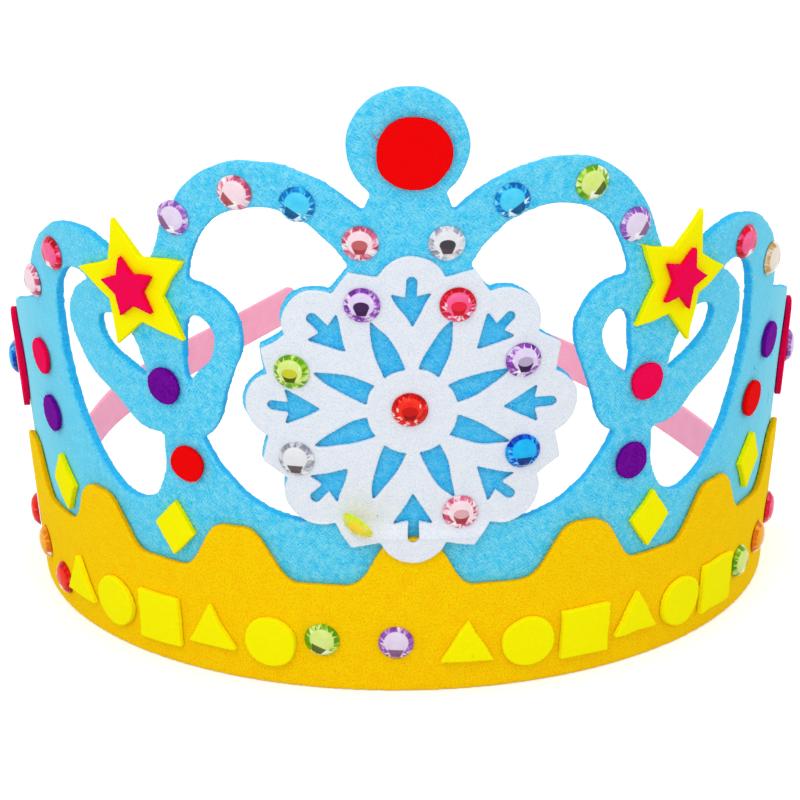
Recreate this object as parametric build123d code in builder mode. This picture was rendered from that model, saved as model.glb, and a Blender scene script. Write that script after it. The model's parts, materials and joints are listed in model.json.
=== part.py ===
from build123d import *
from math import asin, atan, cos, degrees, radians, sin, sqrt, tan
import os

os.makedirs("parts", exist_ok=True)

# A child's felt party crown, in millimetres and degrees.
# The front faces -Y, the foot stands on Z = 0 and the crown's axis is Z.
# A place on the crown is an (angle, height) pair: the angle runs round the axis from
# the front, positive to +X, and the height runs up from the foot.

# The crown sheet
BASE_RADIUS = 87.0
FLARE = 5.24
HALF_SPAN = 100.0
CROWN_FELT = 2.5

# Felt cut thinner than the crown sheet, and the glue line under every glued piece
THIN_FELT = 1.5
SNOWFLAKE_FELT = 1.2
GLUE = 0.12

# Rosette in the middle of the crown, and the white snowflake glued over it
ROSETTE_HEIGHT = 69.7
ROSETTE_SIDES = 8
LOBE_RADIUS = 36.4
NOTCH_RADIUS = 32.3
NOTCH_ANGLE = 13.0
TAB_RADIUS = 35.3
SNOWFLAKE_SHIFT = (0.5, -0.3)
LEAF_ROOT = 9.6
LEAF_ROOT_BULGE = 0.4
LEAF_TIP = 23.4
LEAF_WIDTH = 5.2
LEAF_MIDDLE_WIDTH = 4.4
ARROW_TIP = 19.8
ARROW_BASE = 27.8
ARROW_BARB = 0.8
ARROW_WIDTH = 9.2
STEM_END = 31.6
STEM_WIDTH = 2.5

# Knob, its neck and its red disc, which sits a little low and to the right
KNOB_RISE = 60.6
KNOB_HEIGHT = ROSETTE_HEIGHT + KNOB_RISE
KNOB_RADIUS = 13.2
NECK_HALF_ANGLE = 5.9
NECK_DROP = 15.1
KNOB_DISC_RADIUS = 8.2
KNOB_DISC_ANGLE = 0.7
KNOB_DISC_DROP = 1.3

# Wave band round the foot, with the snowflake's lowest lobe over its edge
SNOWFLAKE_LAP = 5.2
WAVE_DEPTH = 12.2
WAVE_TOP = ROSETTE_HEIGHT - LOBE_RADIUS + SNOWFLAKE_LAP
WAVE_FLOOR = WAVE_TOP - WAVE_DEPTH
WAVE_PITCH = 25.4
WAVE_COUNT = 8
WAVE_FLOOR_WIDTH = 10.0
WAVE_MOUTH_WIDTH = 36.4

# Glued felt shapes
STAR_TIPS = 5
STAR_RADIUS = 16.3
SMALL_STAR_RADIUS = 7.7
STAR_WAIST = 0.5
DIAMOND_WIDTH = 11.0
DIAMOND_HEIGHT = 14.0
DOT_DIAMETER = 8.6
DOT_FELT = 1.1
SIDE_DISC_DIAMETER = 24.0
SIDE_DISC_INSET = 15.0
SIDE_DISC_HEIGHT = ROSETTE_HEIGHT - 16.2
BAND_SHAPE_SIZE = 12.2
BAND_SHAPE_HEIGHT = WAVE_FLOOR * 0.417

# Faceted flat-back stones
STONE_DIAMETER = 8.0
STONE_SIDES = 12
STONE_GIRDLE = 0.5
STONE_SHOULDER = 1.5
STONE_SHOULDER_DIAMETER = 6.8
STONE_HEIGHT = 2.4
STONE_TABLE_DIAMETER = 4.8

# One stone on the snowflake stands on its rim, leaning down and to the left
ASKEW_STONE = 6
ASKEW_TILT = 46.0
ASKEW_TOWARD = 225.0

# Straps
STRAP_WIDTH = 10.5
STRAP_THICKNESS = 1.2
STRAP_LAP = 12.0
STRAP_TIP_FLAT = 0.2

# Lift of a piece glued on the crown sheet, and of one glued on thinner felt over it
ON_SHEET = GLUE
ON_THIN_FELT = GLUE + THIN_FELT + GLUE
ON_SNOWFLAKE = GLUE + SNOWFLAKE_FELT + GLUE

# The sheet is rolled a little taller than the knob, and waste reaches over its top
SPARE = 2.5
SHEET_TOP = KNOB_HEIGHT + KNOB_RADIUS + SPARE
ABOVE = SHEET_TOP + SPARE

# Angles of the crown's front and back in a plan of the crown
FRONT = -90.0
BACK = 90.0

# Straight cutting paths start inside the wall and end outside it
CUT_START = BASE_RADIUS - 21.0
CUT_DEPTH = 48.0


def radius(height):
    """Radius of the crown's outer face at a height."""
    return BASE_RADIUS + height * tan(radians(FLARE))


def facing(angle):
    """Upright plane that looks outward at an angle, inside the wall."""
    turn = radians(angle)
    outward = (sin(turn), -cos(turn), 0)
    return Plane((0, 0, 0), x_dir=(cos(turn), sin(turn), 0), z_dir=outward).offset(CUT_START)


def seen_from(angle, places):
    """Points, on the plane that faces an angle, of places on the scrollwork. Each place is
    an angle, and a rise from the rosette's middle."""
    points = []
    for turn, rise in places:
        height = ROSETTE_HEIGHT + rise
        points.append((radius(height) * sin(radians(turn - angle)), height))
    return points


def on_face(angle, height, lift):
    """Plane on the crown's outer face, lifted off it along its normal."""
    turn = radians(angle)
    lean = radians(FLARE)
    normal = Vector(sin(turn) * cos(lean), -cos(turn) * cos(lean), -sin(lean))
    foot = Vector(radius(height) * sin(turn), -radius(height) * cos(turn), height)
    return Plane(foot + normal * lift, x_dir=(cos(turn), sin(turn), 0), z_dir=normal)


def rolled_felt(thickness, *stations):
    """Felt rolled round the crown. Each station is a height, and the lift of the felt's
    inner face off the crown's outer face there."""
    slant = 1 / cos(radians(FLARE))
    inner = [(radius(height) + lift * slant, height) for height, lift in stations]
    outer = [(radius(height) + (lift + thickness) * slant, height) for height, lift in stations]
    start = radians(-HALF_SPAN)
    half_plane = Plane(
        (0, 0, 0),
        x_dir=(sin(start), -cos(start), 0),
        z_dir=(-cos(start), -sin(start), 0),
    )
    with BuildPart() as wall:
        with BuildSketch(half_plane):
            with BuildLine():
                Polyline(*inner, *reversed(outer), close=True)
            make_face()
        revolve(axis=Axis.Z, revolution_arc=2 * HALF_SPAN)
    return wall.part


def outline(angle, *runs):
    """Closed outline of smooth runs that meet at corners, on the plane facing an angle."""
    with BuildSketch() as shape:
        with BuildLine():
            for run in runs:
                places = seen_from(angle, run)
                if len(places) > 2:
                    Spline(*places)
                else:
                    Line(*places)
        make_face()
    return shape.sketch


def polar(distance, turn):
    return (distance * cos(radians(turn)), distance * sin(radians(turn)))


def rosette():
    """Eight round lobes with a blunt point between each two."""
    step = 360 / ROSETTE_SIDES
    with BuildSketch() as shape:
        with BuildLine():
            for index in range(ROSETTE_SIDES):
                turn = index * step
                ThreePointArc(
                    polar(NOTCH_RADIUS, turn - NOTCH_ANGLE),
                    polar(LOBE_RADIUS, turn),
                    polar(NOTCH_RADIUS, turn + NOTCH_ANGLE),
                )
                Polyline(
                    polar(NOTCH_RADIUS, turn + NOTCH_ANGLE),
                    polar(TAB_RADIUS, turn + step / 2),
                    polar(NOTCH_RADIUS, turn + step - NOTCH_ANGLE),
                )
        make_face()
    return shape.sketch


def leaf():
    """Cut-out from the hub outward, blunt at the hub and pointed outside."""
    left = (LEAF_ROOT, LEAF_WIDTH / 2)
    right = (LEAF_ROOT, -LEAF_WIDTH / 2)
    tip = (LEAF_TIP, 0)
    middle = (LEAF_ROOT + LEAF_TIP) / 2
    with BuildSketch() as shape:
        with BuildLine():
            ThreePointArc(right, (LEAF_ROOT + LEAF_ROOT_BULGE, 0), left)
            ThreePointArc(left, (middle, LEAF_MIDDLE_WIDTH / 2), tip)
            ThreePointArc(tip, (middle, -LEAF_MIDDLE_WIDTH / 2), right)
        make_face()
    return shape.sketch


def arrow():
    """Cut-out in a lobe: a head that points at the hub and a round-ended stem."""
    half_head = ARROW_WIDTH / 2
    half_stem = STEM_WIDTH / 2
    stem_start = ARROW_BASE - ARROW_BARB
    stem_round = STEM_END - half_stem
    with BuildSketch() as shape:
        with BuildLine():
            Polyline(
                (stem_start, half_stem),
                (ARROW_BASE, half_head),
                (ARROW_TIP, 0),
                (ARROW_BASE, -half_head),
                (stem_start, -half_stem),
                (stem_round, -half_stem),
            )
            ThreePointArc((stem_round, -half_stem), (STEM_END, 0), (stem_round, half_stem))
            Line((stem_round, half_stem), (stem_start, half_stem))
        make_face()
    return shape.sketch


def snowflake_cuts():
    """Leaves round the hub and an arrow in each lobe."""
    with BuildSketch() as shape:
        with PolarLocations(0, ROSETTE_SIDES, start_angle=180 / ROSETTE_SIDES):
            add(leaf())
        with PolarLocations(0, ROSETTE_SIDES):
            add(arrow())
    return shape.sketch


def star(size):
    """Star with one tip to +X."""
    step = 360 / STAR_TIPS
    tips = [polar(size, step * index) for index in range(STAR_TIPS)]
    waists = [polar(size * STAR_WAIST, step * (index + 0.5)) for index in range(STAR_TIPS)]
    with BuildSketch() as shape:
        with BuildLine():
            Polyline(*[point for pair in zip(tips, waists) for point in pair], close=True)
        make_face()
    return shape.sketch


# Outline of the scrollwork, right half. Corners where two runs meet have names.
KNOB_NECK = (NECK_HALF_ANGLE, KNOB_RISE - NECK_DROP)
KNOB_FOOT = KNOB_RISE - KNOB_RADIUS + SPARE
OVER = ABOVE - ROSETTE_HEIGHT
STAR_CROTCH = (38.8, 27.6)
PANEL_CROTCH = (65.4, 8.9)
ARCH_CROTCH = (30.2, 26.3)
SIDE_CROTCH = (48.5, 21.0)
COLUMN_INNER = (29.8, -10.9)
COLUMN_OUTER = (36.5, -11.9)

above_arch = outline(
    18,
    [KNOB_NECK, (9.0, 50.0), (13.0, 53.7), (18.0, 55.9), (22.5, 55.6), (26.5, 52.9),
     (29.8, 48.5), (32.5, 42.7), (34.6, 35.3), (36.2, 30.1), STAR_CROTCH],
    [STAR_CROTCH, (STAR_CROTCH[0], OVER)],
    [(STAR_CROTCH[0], OVER), (-1.0, OVER)],
    [(-1.0, OVER), (-1.0, KNOB_FOOT)],
    [(-1.0, KNOB_FOOT), (4.8, KNOB_FOOT)],
    [(4.8, KNOB_FOOT), KNOB_NECK],
)
above_side_arch = outline(
    52,
    [STAR_CROTCH, (43.0, 29.2), (47.0, 32.1), (51.0, 32.9), (55.0, 31.8), (59.0, 28.5),
     (62.5, 23.6), (65.0, 17.8), (65.8, 12.8), PANEL_CROTCH],
    [PANEL_CROTCH, (72.0, 9.8)],
    [(72.0, 9.8), (72.0, OVER)],
    [(72.0, OVER), (STAR_CROTCH[0], OVER)],
    [(STAR_CROTCH[0], OVER), STAR_CROTCH],
)
panel_span = HALF_SPAN - PANEL_CROTCH[0]
panel_edge = [
    (PANEL_CROTCH[0] + share * panel_span, rise)
    for share, rise in ((0.2, 5.7), (0.42, 1.2), (0.65, -4.3), (0.83, -11.2), (0.94, -19.7))
]
PANEL_END = (HALF_SPAN, WAVE_TOP + GLUE - ROSETTE_HEIGHT)
PAST_END = HALF_SPAN + 5
above_panel = outline(
    84,
    [PANEL_CROTCH, *panel_edge, PANEL_END],
    [PANEL_END, (PAST_END, PANEL_END[1])],
    [(PAST_END, PANEL_END[1]), (PAST_END, OVER)],
    [(PAST_END, OVER), (66.6, OVER)],
    [(66.6, OVER), (66.6, 10.3)],
    [(66.6, 10.3), PANEL_CROTCH],
)
front_window = outline(
    18,
    [COLUMN_INNER, (27.4, -17.3), (24.0, -22.9), (19.5, -27.0), (14.0, -28.7), (8.0, -28.7)],
    [(8.0, -28.7), (5.0, -19.7)],
    [(5.0, -19.7), (5.0, 22.3)],
    [(5.0, 22.3), (7.6, 31.3)],
    [(7.6, 31.3), (9.6, 37.3), (12.6, 42.3), (16.5, 45.3), (20.5, 45.6), (24.5, 43.3),
     (27.6, 38.3), (29.5, 32.3), ARCH_CROTCH],
    [ARCH_CROTCH, (27.2, 25.6), (24.5, 22.5), (22.9, 17.8), (22.9, 11.8), (24.4, 5.3),
     (25.8, -0.2), (26.5, -5.2), (27.8, -9.0), COLUMN_INNER],
)
side_window = outline(
    47,
    [COLUMN_OUTER, (36.7, -18.2), (37.6, -23.9), (40.0, -28.8), (43.3, -30.4), (46.8, -28.7),
     (50.2, -24.1), (53.4, -17.1), (55.8, -8.7), (57.1, 0.3), (57.3, 8.8), (56.4, 15.8),
     (54.3, 20.5), (51.5, 22.4), SIDE_CROTCH],
    [SIDE_CROTCH, (51.3, 18.3), (53.4, 14.1), (53.9, 9.3), (52.8, 4.1), (50.3, -0.9),
     (47.0, -4.5), (43.8, -7.7), (41.3, -10.9), (38.9, -12.2), COLUMN_OUTER],
)
heart_inner_hole = outline(
    36,
    [(31.6, 1.6), (29.4, 5.5), (27.5, 9.6), (26.9, 13.6), (27.8, 17.1), (29.4, 18.5),
     (30.8, 17.1), (31.5, 13.3), (31.9, 7.3), (31.6, 1.6)],
)
heart_outer_hole = outline(
    36,
    [(38.3, 0.4), (41.5, 2.9), (44.8, 5.7), (46.9, 9.3), (46.9, 12.7), (45.2, 14.2),
     (42.6, 13.9), (40.6, 10.5), (39.2, 5.8), (38.3, 0.4)],
)

# Felt cut away from the right half of the sheet, then from the left half
with BuildPart() as waste:
    for angle, shapes in (
        (18, [above_arch, front_window]),
        (36, [heart_inner_hole, heart_outer_hole]),
        (47, [side_window]),
        (52, [above_side_arch]),
        (84, [above_panel]),
    ):
        with BuildSketch(facing(angle)):
            for shape in shapes:
                add(shape)
        extrude(amount=CUT_DEPTH)
    with BuildSketch(facing(0)):
        with Locations((0, ROSETTE_HEIGHT)):
            add(rosette())
        with Locations((0, KNOB_HEIGHT)):
            Circle(KNOB_RADIUS)
    extrude(amount=CUT_DEPTH, mode=Mode.SUBTRACT)
    mirror(about=Plane.YZ)

# Crown sheet: one piece of stiff felt, cut as scrollwork and bent round
with BuildPart() as crown_sheet:
    add(rolled_felt(CROWN_FELT, (0, -CROWN_FELT), (SHEET_TOP, -CROWN_FELT)))
    add(waste.part, mode=Mode.SUBTRACT)
crown_sheet.part.label = "crown_sheet"
export_step(crown_sheet.part, "parts/crown_sheet.step")

# Wave band: a strip glued round the foot, with a scoop at each valley
first_valley = -WAVE_PITCH * (WAVE_COUNT - 1) / 2
mouth = WAVE_MOUTH_WIDTH / 2
floor = WAVE_FLOOR_WIDTH / 2
waist = (mouth + floor) / 2
with BuildPart() as wave_band:
    add(rolled_felt(THIN_FELT, (0, ON_SHEET), (WAVE_TOP, ON_SHEET)))
    for index in range(WAVE_COUNT):
        with BuildSketch(facing(first_valley + index * WAVE_PITCH)):
            with BuildLine():
                Bezier(
                    (-mouth, WAVE_TOP), (-waist, WAVE_TOP), (-waist, WAVE_FLOOR), (-floor, WAVE_FLOOR)
                )
                Line((-floor, WAVE_FLOOR), (floor, WAVE_FLOOR))
                Bezier(
                    (floor, WAVE_FLOOR), (waist, WAVE_FLOOR), (waist, WAVE_TOP), (mouth, WAVE_TOP)
                )
                Polyline((mouth, WAVE_TOP), (mouth, ABOVE), (-mouth, ABOVE), (-mouth, WAVE_TOP))
            make_face()
        extrude(amount=CUT_DEPTH, mode=Mode.SUBTRACT)
wave_band.part.label = "wave_band"
export_step(wave_band.part, "parts/wave_band.step")

# Snowflake: thin white felt over the rosette, its lowest lobe lapping over the wave band
lap = WAVE_TOP + GLUE
with BuildPart() as snowflake:
    add(
        rolled_felt(
            SNOWFLAKE_FELT,
            (0, ON_THIN_FELT),
            (lap, ON_THIN_FELT),
            (lap + THIN_FELT, ON_SHEET),
            (SHEET_TOP, ON_SHEET),
        )
    )
    with BuildSketch(facing(0)):
        with Locations((SNOWFLAKE_SHIFT[0], ROSETTE_HEIGHT + SNOWFLAKE_SHIFT[1])):
            add(rosette())
            add(snowflake_cuts(), mode=Mode.SUBTRACT)
    extrude(amount=CUT_DEPTH, mode=Mode.INTERSECT)
snowflake.part.label = "snowflake"
export_step(snowflake.part, "parts/snowflake.step")


def felt_piece(label, angle, height, shape, lift):
    """Flat outline cut from thin felt and glued on, following the crown's curve."""
    with BuildPart() as piece:
        add(rolled_felt(THIN_FELT, (0, lift), (SHEET_TOP, lift)))
        with BuildSketch(facing(angle)):
            with Locations((0, height)):
                add(shape)
        extrude(amount=CUT_DEPTH, mode=Mode.INTERSECT)
    piece.part.label = label
    export_step(piece.part, f"parts/{label}.step")


def disc(diameter):
    with BuildSketch() as shape:
        Circle(diameter / 2)
    return shape.sketch


def diamond(turn):
    half_width = DIAMOND_WIDTH / 2
    half_height = DIAMOND_HEIGHT / 2
    with BuildSketch() as shape:
        with BuildLine():
            Polyline(
                (half_width, 0), (0, half_height), (-half_width, 0), (0, -half_height), close=True
            )
        make_face()
    return Rot(0, 0, turn) * shape.sketch


knob_disc_height = KNOB_HEIGHT - KNOB_DISC_DROP
felt_piece("knob_disc", KNOB_DISC_ANGLE, knob_disc_height, disc(2 * KNOB_DISC_RADIUS), ON_SHEET)

# Stars over the meeting of the arches, small on large: angle, height, turn, and width as
# a share of the height, because hand-cut stars differ
STARS = {
    "left": (-38.7, ROSETTE_HEIGHT + 22.9, 176, 1.05),
    "right": (38.6, ROSETTE_HEIGHT + 23.1, -2, 0.9),
}
for side, (angle, height, turn, width) in STARS.items():
    large = scale(Rot(0, 0, turn) * star(STAR_RADIUS), by=(width, 1, 1))
    small = scale(Rot(0, 0, turn) * star(SMALL_STAR_RADIUS), by=(width, 1, 1))
    felt_piece(f"star_{side}", angle, height, large, ON_SHEET)
    felt_piece(f"small_star_{side}", angle, height, small, ON_THIN_FELT)

# Diamonds: angle, height and turn
DIAMONDS = {
    "diamond_left": (-35.4, ROSETTE_HEIGHT - 34.8, -7),
    "diamond_right": (36.8, ROSETTE_HEIGHT - 34.7, -4),
    "side_diamond_left": (-61.0, ROSETTE_HEIGHT - 35.0, 5),
    "side_diamond_right": (61.6, ROSETTE_HEIGHT - 32.3, -5),
}
for label, (angle, height, turn) in DIAMONDS.items():
    felt_piece(label, angle, height, diamond(turn), ON_SHEET)

# Discs near the ends of the sheet
side_disc_angle = HALF_SPAN - SIDE_DISC_INSET
for label, angle in (("side_disc_left", -side_disc_angle), ("side_disc_right", side_disc_angle)):
    felt_piece(label, angle, SIDE_DISC_HEIGHT, disc(SIDE_DISC_DIAMETER), ON_SHEET)

# Small felt dots on the columns and side panels
DOTS = {
    "dot_heart_left": (-35.2, ROSETTE_HEIGHT + 0.2),
    "dot_column_left": (-32.4, ROSETTE_HEIGHT - 17.9),
    "dot_panel_top_left": (-64.4, ROSETTE_HEIGHT - 4.9),
    "dot_panel_left": (-63.0, ROSETTE_HEIGHT - 18.6),
    "dot_heart_right": (34.4, ROSETTE_HEIGHT + 0.0),
    "dot_column_right": (32.7, ROSETTE_HEIGHT - 18.9),
    "dot_panel_top_right": (65.2, ROSETTE_HEIGHT - 4.0),
    "dot_panel_right": (60.5, ROSETTE_HEIGHT - 16.2),
}
for label, (angle, height) in DOTS.items():
    with BuildPart() as dot:
        with BuildSketch(on_face(angle, height, ON_SHEET)):
            Circle(DOT_DIAMETER / 2)
        extrude(amount=DOT_FELT)
    dot.part.label = label
    export_step(dot.part, f"parts/{label}.step")

# Plain shapes in two rows along the wave band: angles of the first and last, and how many
ROWS = {
    "band_shapes_left": (-58.0, -20.6, 5),
    "band_shapes_right": (8.0, 52.8, 6),
}
for label, (first, last, count) in ROWS.items():
    pitch = (last - first) / (count - 1)
    with BuildPart() as row:
        for index in range(count):
            with BuildSketch(facing(first + index * pitch)):
                with Locations((0, BAND_SHAPE_HEIGHT)):
                    if index % 3 == 0:
                        RegularPolygon(BAND_SHAPE_SIZE / sqrt(3), 3, rotation=90)
                    elif index % 3 == 1:
                        Circle(BAND_SHAPE_SIZE / 2)
                    else:
                        Rectangle(BAND_SHAPE_SIZE, BAND_SHAPE_SIZE)
            extrude(amount=CUT_DEPTH)
        on_band = rolled_felt(THIN_FELT, (0, ON_THIN_FELT), (WAVE_TOP, ON_THIN_FELT))
        add(on_band, mode=Mode.INTERSECT)
    row.part.label = label
    export_step(row.part, f"parts/{label}.step")


def facets(low, diameter, high, top_diameter):
    """Ring of flat facets of a stone between two heights, where its diameters are given."""
    reach = (diameter - top_diameter) / 2 * cos(radians(180 / STONE_SIDES))
    with BuildPart() as ring:
        with BuildSketch(Plane.XY.offset(low)):
            RegularPolygon(diameter / 2, STONE_SIDES)
        extrude(amount=high - low, taper=degrees(atan(reach / (high - low))))
    return ring.part


# One faceted flat-back stone, then its places: angle, height and lift
with BuildPart() as stone:
    add(facets(0, STONE_DIAMETER, STONE_GIRDLE, STONE_DIAMETER))
    add(facets(STONE_GIRDLE, STONE_DIAMETER, STONE_SHOULDER, STONE_SHOULDER_DIAMETER))
    add(facets(STONE_SHOULDER, STONE_SHOULDER_DIAMETER, STONE_HEIGHT, STONE_TABLE_DIAMETER))

STONES = {
    "stone_hub": (0.0, ROSETTE_HEIGHT + 0.4, ON_SNOWFLAKE),
    "stone_neck_left": (-6.1, ROSETTE_HEIGHT + 38.8, ON_SHEET),
    "stone_neck_right": (4.8, ROSETTE_HEIGHT + 38.7, ON_SHEET),
    "stone_arch_left_1": (-14.0, ROSETTE_HEIGHT + 47.2, ON_SHEET),
    "stone_arch_left_2": (-22.2, ROSETTE_HEIGHT + 48.8, ON_SHEET),
    "stone_arch_left_3": (-31.4, ROSETTE_HEIGHT + 41.1, ON_SHEET),
    "stone_arch_right_1": (13.1, ROSETTE_HEIGHT + 47.6, ON_SHEET),
    "stone_arch_right_2": (23.8, ROSETTE_HEIGHT + 49.6, ON_SHEET),
    "stone_arch_right_3": (30.7, ROSETTE_HEIGHT + 38.2, ON_SHEET),
    "stone_side_arch_left_1": (-56.3, ROSETTE_HEIGHT + 23.9, ON_SHEET),
    "stone_side_arch_left_2": (-64.0, ROSETTE_HEIGHT + 13.9, ON_SHEET),
    "stone_side_arch_right_1": (53.2, ROSETTE_HEIGHT + 25.6, ON_SHEET),
    "stone_side_arch_right_2": (62.3, ROSETTE_HEIGHT + 17.4, ON_SHEET),
    "stone_band_front_1": (-12.9, WAVE_FLOOR * 0.481, ON_THIN_FELT),
    "stone_band_front_2": (-2.2, WAVE_FLOOR * 0.481, ON_THIN_FELT),
    "stone_band_left_1": (-65.3, WAVE_FLOOR * 0.295, ON_THIN_FELT),
    "stone_band_left_2": (-74.0, WAVE_FLOOR * 0.455, ON_THIN_FELT),
    "stone_band_left_3": (-83.0, WAVE_FLOOR * 0.568, ON_THIN_FELT),
    "stone_band_right_1": (61.2, WAVE_FLOOR * 0.443, ON_THIN_FELT),
    "stone_band_right_2": (69.5, WAVE_FLOOR * 0.492, ON_THIN_FELT),
    "stone_band_right_3": (78.0, WAVE_FLOOR * 0.587, ON_THIN_FELT),
    "stone_disc_left": (-side_disc_angle, SIDE_DISC_HEIGHT, ON_THIN_FELT),
    "stone_disc_right": (side_disc_angle, SIDE_DISC_HEIGHT, ON_THIN_FELT),
}

# Stones round the snowflake, placed by eye: across and up from the rosette's middle
RING = [
    (24.4, 10.7), (10.3, 24.9), (-10.0, 25.1), (-25.2, 8.6),
    (-24.5, -12.3), (-11.1, -26.3), (10.8, -24.9), (24.4, -11.2),
]
for index, (across, up) in enumerate(RING, 1):
    height = ROSETTE_HEIGHT + up
    angle = degrees(asin(across / radius(height)))
    STONES[f"stone_snowflake_{index}"] = (angle, height, ON_SNOWFLAKE)

# The askew stone is raised until the lowest edge of its rim rests on the felt
rim_edge = STONE_DIAMETER / 2 * cos(radians(180 / STONE_SIDES))
askew_rise = rim_edge * sin(radians(ASKEW_TILT))
lean = Rot(0, 0, ASKEW_TOWARD) * Rot(0, ASKEW_TILT, 0) * Rot(0, 0, 180 / STONE_SIDES)
for label, (angle, height, lift) in STONES.items():
    seat = on_face(angle, height, lift).location
    if label == f"stone_snowflake_{ASKEW_STONE}":
        seat = on_face(angle, height, lift + askew_rise).location * lean
    with BuildPart() as placed:
        with Locations(seat):
            add(stone.part)
    placed.part.label = label
    export_step(placed.part, f"parts/{label}.step")


def strap(label, side, middle, places):
    """Flat strap glued inside one end of the crown sheet and left loose behind it. Each
    place is a share of the turn from that end to the back of the crown, and the distance
    the strap has run out past the glued stretch there."""
    foot = middle - STRAP_WIDTH / 2
    inner_face = radius(foot) - CROWN_FELT / cos(radians(FLARE))
    path_radius = inner_face - GLUE - STRAP_THICKNESS / 2
    end = HALF_SPAN + FRONT
    loose = [polar(path_radius + out, end + share * (BACK - end)) for share, out in places]
    with BuildPart() as band:
        with BuildSketch(Plane.XY.offset(foot)):
            with BuildLine():
                glued = CenterArc((0, 0), path_radius, end - STRAP_LAP, STRAP_LAP)
                Spline(glued @ 1, *loose, tangents=[glued % 1, Vector(loose[-1]) - loose[-2]])
            trace(line_width=STRAP_THICKNESS)
        extrude(amount=STRAP_WIDTH)
        tip = band.edges().filter_by(lambda edge: abs(edge.length - STRAP_THICKNESS) < 0.01)
        fillet(tip.sort_by(Axis.Y)[-2:], (STRAP_WIDTH - STRAP_TIP_FLAT) / 2)
        if side < 0:
            mirror(about=Plane.YZ, mode=Mode.REPLACE)
    band.part.label = label
    export_step(band.part, f"parts/{label}.step")


strap("strap_left", -1, 17.7, [(0.101, 0.1), (0.2775, 5.0), (0.73, 34.6), (0.859, 56.5)])
strap("strap_right", 1, 13.0, [(0.09, 0.0), (0.2775, 2.2), (0.6575, 22.3), (0.81, 39.0)])
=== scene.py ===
"""Dresses a felt party crown: fuzzy cut felt, faceted stones, straps and a pale stage.

The front of the crown faces -Y, its foot stands on Z = 0 and its axis is Z. Sizes are in
metres. A place on the crown is a turn round the axis from the front, positive to +X.
"""

import json
import math
import random
from typing import NamedTuple

import bmesh
import bpy
import numpy as np
from bpy.props import FloatProperty, FloatVectorProperty, IntProperty, PointerProperty
from mathutils import Matrix, Vector, noise


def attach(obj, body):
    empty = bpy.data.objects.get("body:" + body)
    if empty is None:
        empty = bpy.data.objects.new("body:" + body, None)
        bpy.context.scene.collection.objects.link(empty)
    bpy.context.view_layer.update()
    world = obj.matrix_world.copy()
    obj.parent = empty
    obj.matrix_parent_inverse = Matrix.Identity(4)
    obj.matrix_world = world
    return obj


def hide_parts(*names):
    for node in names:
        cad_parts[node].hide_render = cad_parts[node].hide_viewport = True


bl_info = {
    "name": "Felt Party Crown",
    "version": (1, 0, 0),
    "blender": (4, 5, 0),
    "location": "View3D > Sidebar > Crown",
    "description": "Dresses a felt party crown with felt, stones, straps and a stage",
    "category": "Object",
}

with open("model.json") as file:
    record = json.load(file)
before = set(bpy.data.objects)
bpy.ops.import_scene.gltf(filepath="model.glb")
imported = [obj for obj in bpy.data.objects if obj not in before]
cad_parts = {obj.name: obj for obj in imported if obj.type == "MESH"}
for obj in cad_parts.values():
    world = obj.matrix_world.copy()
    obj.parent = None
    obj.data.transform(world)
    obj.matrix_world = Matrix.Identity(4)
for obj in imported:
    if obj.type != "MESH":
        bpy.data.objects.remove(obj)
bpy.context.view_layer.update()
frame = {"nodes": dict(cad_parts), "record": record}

# The crown sheet's flare, and the radius at which it is laid out flat
FLARE = math.radians(5.24)
UNROLL_RADIUS = 0.095

# Middle of the snowflake, the reach of its cut-outs, and the step off the wave band at its
# foot: where the step starts and ends and how high it is
SNOWFLAKE_HEIGHT = 0.0697
SNOWFLAKE_CUTS = 0.0318
SNOWFLAKE_STEP = (0.0385, 0.0427, 0.0015)

# Heights between which the cut walls, with their deeper colour and painted shade, turn as
# pale as the face, up to the knob
PALE_WALLS = (0.114, 0.128)
PALE_WALL_SHARE = 0.2

# How squarely a surface faces out where a cut wall starts, over how much it turns into one,
# and how squarely it has to face out to take the painted shade under the snowflake
WALL_START = 0.8
WALL_FADE = 0.5
FACES_OUT = 0.5

# Where the painted shade under the snowflake ends and over how much it fades, as shares of
# its cut-outs' reach
COVER_SHADE_END = 1.03
COVER_SHADE_FADE = 0.06

# Points closer than this are one point: on felt in metres, on a stone as a share of its radius
FELT_MERGE = 1e-6
STONE_MERGE = 0.001

# Size of the waves in a hand-cut outline, the seed that keeps them the same, and how far
# apart two pieces' waves lie. Near the floor they die out over the calm height.
WOBBLE_SCALE = 170
WOBBLE_SEED = 318
WOBBLE_STEP = (3.7, 1.9, 5.3)
CALM_HEIGHT = 0.003

# Share of each felt piece's mesh that is kept, and its number of stray fibres
SHEET_DETAIL = (0.3, 1500)
BAND_DETAIL = (0.5, 700)
SNOWFLAKE_DETAIL = (0.5, 400)
GLUED_DETAIL = (0.3, 80)

# Flat width and length of each strap, its rounding, and the share of its mesh that is kept
STRAP_FLATS = {"strap_left": (0.0105, 0.154), "strap_right": (0.0105, 0.134)}
STRAP_ROUNDING = 3
STRAP_KEPT = 0.6

# Names of the surface maps and of the masks on the meshes
FLAT_MAP = "flat"
CUT_MASK = "cut"
# The next mask holds painted shade where the snowflake covers the crown sheet
PAINTED_COVER_SHADE = "covered"
UPRIGHT_MAP = "upright"
TURNED_MAP = "turned"
CORE = "core"
MARK = "mark"

# Camera: turn and rise in degrees, distance, the place it aims at, its roll, and its focal
# length in pixels of a picture this wide
CAMERA_TURN = -1.0116
CAMERA_RISE = 22.4
CAMERA_DISTANCE = 0.87
CAMERA_AIM = (-0.000524, 0, 0.037581)
CAMERA_ROLL = -0.00972
FOCAL_PIXELS = 3479
PICTURE_PIXELS = 800
SENSOR_WIDTH = 36

# Key lamp: its place, what it aims at, and its size
LAMP_PLACE = (-0.2, -0.72, 0.72)
LAMP_AIM = (0, 0, 0.06)
LAMP_SIZE = 0.5

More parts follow.
